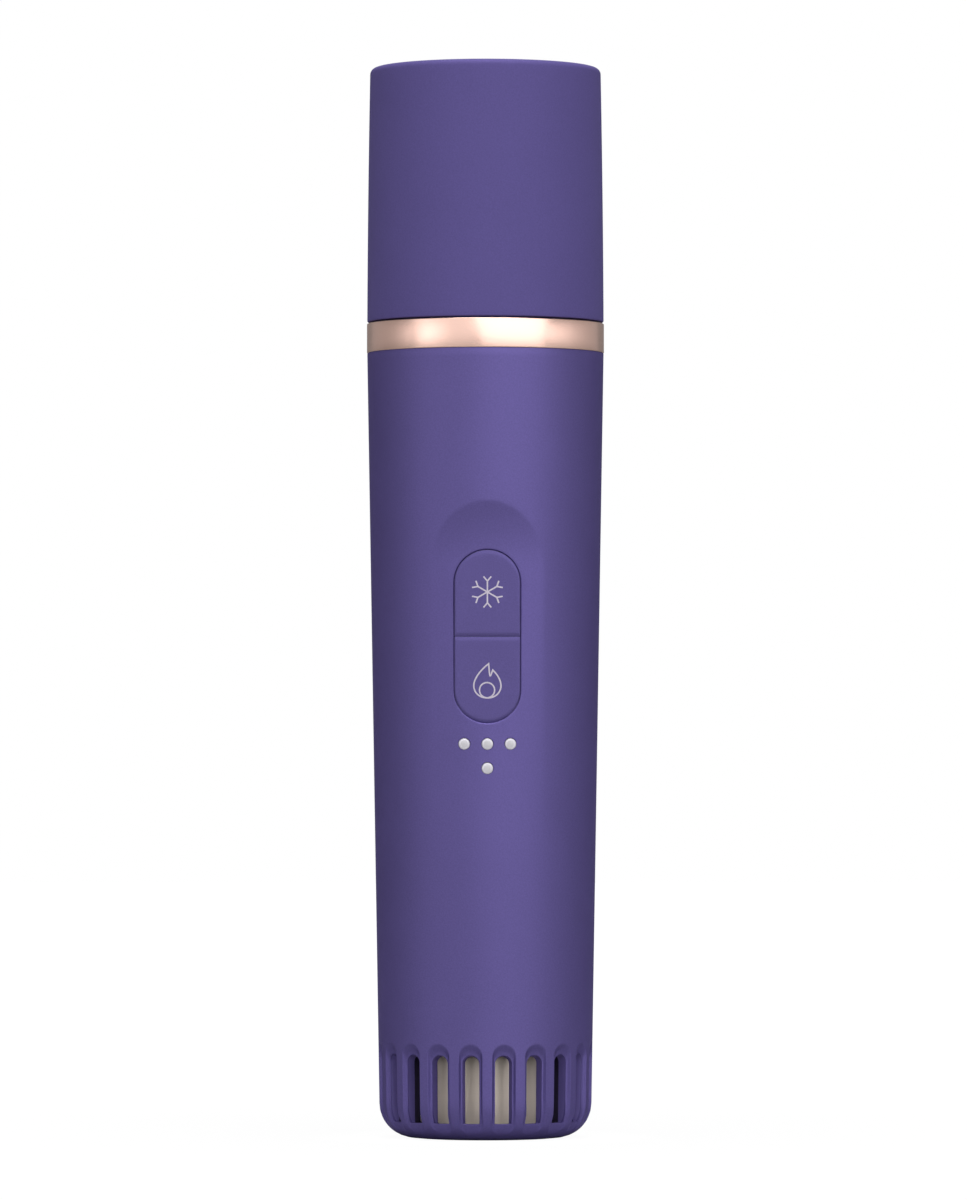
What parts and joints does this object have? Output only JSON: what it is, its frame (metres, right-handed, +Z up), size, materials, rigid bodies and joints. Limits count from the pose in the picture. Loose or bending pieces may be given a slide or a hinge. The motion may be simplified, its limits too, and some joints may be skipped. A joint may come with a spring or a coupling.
{
  "type": "facial depuffing wand",
  "caption": "Capped cylindrical hot and cold face wand with a scooped front panel, a split pill-shaped button pair, lamp lenses, a metal trim ring and a vented foot.",
  "frame": {"origin": "middle of the flat base that the wand stands on", "axes": "+Z up along the wand towards the cap; the panel with the buttons faces -Y; +X is on the right when facing the buttons"},
  "size_m": [0.038, 0.038, 0.1713],
  "materials": {
    "handle_soft_touch": "satin soft-touch coat, violet",
    "cap_soft_touch": "satin soft-touch coat, violet",
    "button_soft_touch": "satin soft-touch coat, violet, with a pale printed symbol",
    "neck_plastic": "fine spark texture, deep violet",
    "rose_gold": "polished rose gold plate",
    "polished_head": "mirror polished and clear anodised",
    "heat_sink_aluminium": "as extruded",
    "motor_can_metal": "satin champagne anodised",
    "grey_silicone": "matt silicone",
    "black_foam": "closed-cell foam",
    "peltier_ceramic": "matt white alumina",
    "black_plastic": "moulded, fine texture",
    "white_plastic": "moulded, satin",
    "lamp_milky": "milky clear acrylic",
    "board_green": "glass-fibre board with green solder mask",
    "battery_sleeve": "steel cell in a blue shrink sleeve",
    "nickel": "nickel plated sheet",
    "screw_steel": "zinc plated",
    "magnet_iron": "nickel plated magnet",
    "copper_winding": "enamelled copper wire",
    "bearing_bronze": "sintered bronze",
    "red_wire": "insulated lead pair",
    "black_wire": "insulated lead pair"
  },
  "bodies": {
    "root": {"handle_shell": "handle_soft_touch", "trim_ring": "rose_gold", "neck_collar": "neck_plastic", "neck_seal": "grey_silicone", "head_gasket": "grey_silicone", "head_plate": "polished_head", "cold_pad": "grey_silicone", "peltier_module": "peltier_ceramic", "hot_pad": "grey_silicone", "peltier_foam": "black_foam", "heat_sink": "heat_sink_aluminium", "head_screw_left": "screw_steel", "head_screw_right": "screw_steel", "thermistor": "black_plastic", "chassis": "black_plastic", "chassis_screw_left": "screw_steel", "chassis_screw_right": "screw_steel", "battery_cell": "battery_sleeve", "battery_tab_top": "nickel", "battery_tab_bottom": "nickel", "main_board": "board_green", "board_screw_upper": "screw_steel", "board_screw_lower": "screw_steel", "upper_connector": "white_plastic", "lower_connector": "white_plastic", "controller_chip": "black_plastic", "power_inductor": "black_plastic", "switch_cold": "black_plastic", "switch_heat": "black_plastic", "light_guide": "lamp_milky", "lamp_left": "peltier_ceramic", "lamp_middle": "peltier_ceramic", "lamp_right": "peltier_ceramic", "lamp_low": "peltier_ceramic", "usb_port": "nickel", "charge_board": "board_green", "motor_pad": "black_foam", "motor_can": "motor_can_metal", "motor_stator": "copper_winding", "fan_bearing": "bearing_bronze", "fan_shroud": "black_plastic", "fan_screw_left": "screw_steel", "fan_screw_right": "screw_steel", "peltier_lead": "red_wire", "thermistor_lead": "black_wire", "battery_lead_upper": "red_wire", "battery_lead_lower": "black_wire", "fan_lead": "black_wire", "charge_lead": "red_wire"},
    "cap": {"cap_shell": "cap_soft_touch"},
    "cold_button": {"button_cold": "button_soft_touch", "switch_stem_cold": "white_plastic"},
    "heat_button": {"button_heat": "button_soft_touch", "switch_stem_heat": "white_plastic"},
    "fan_rotor": {"impeller": "black_plastic", "motor_shaft": "screw_steel", "rotor_magnet": "magnet_iron"}
  },
  "joints": [
    {"name": "cap_pull", "type": "slide", "parent": "root", "child": "cap", "axis": [0, 0, 1], "range_m": [0, 0.045]},
    {"name": "cold_button_press", "type": "slide", "parent": "root", "child": "cold_button", "axis": [0, 0.9998, 0.0189], "range_m": [0, 0.0004], "stiffness_N_per_m": 400},
    {"name": "heat_button_press", "type": "slide", "parent": "root", "child": "heat_button", "axis": [0, 0.9998, 0.0189], "range_m": [0, 0.0004], "stiffness_N_per_m": 400},
    {"name": "fan_spin", "type": "hinge", "parent": "root", "child": "fan_rotor", "pos_m": [0, 0, 0.0222], "axis": [0, 0, 1], "continuous": true}
  ]
}
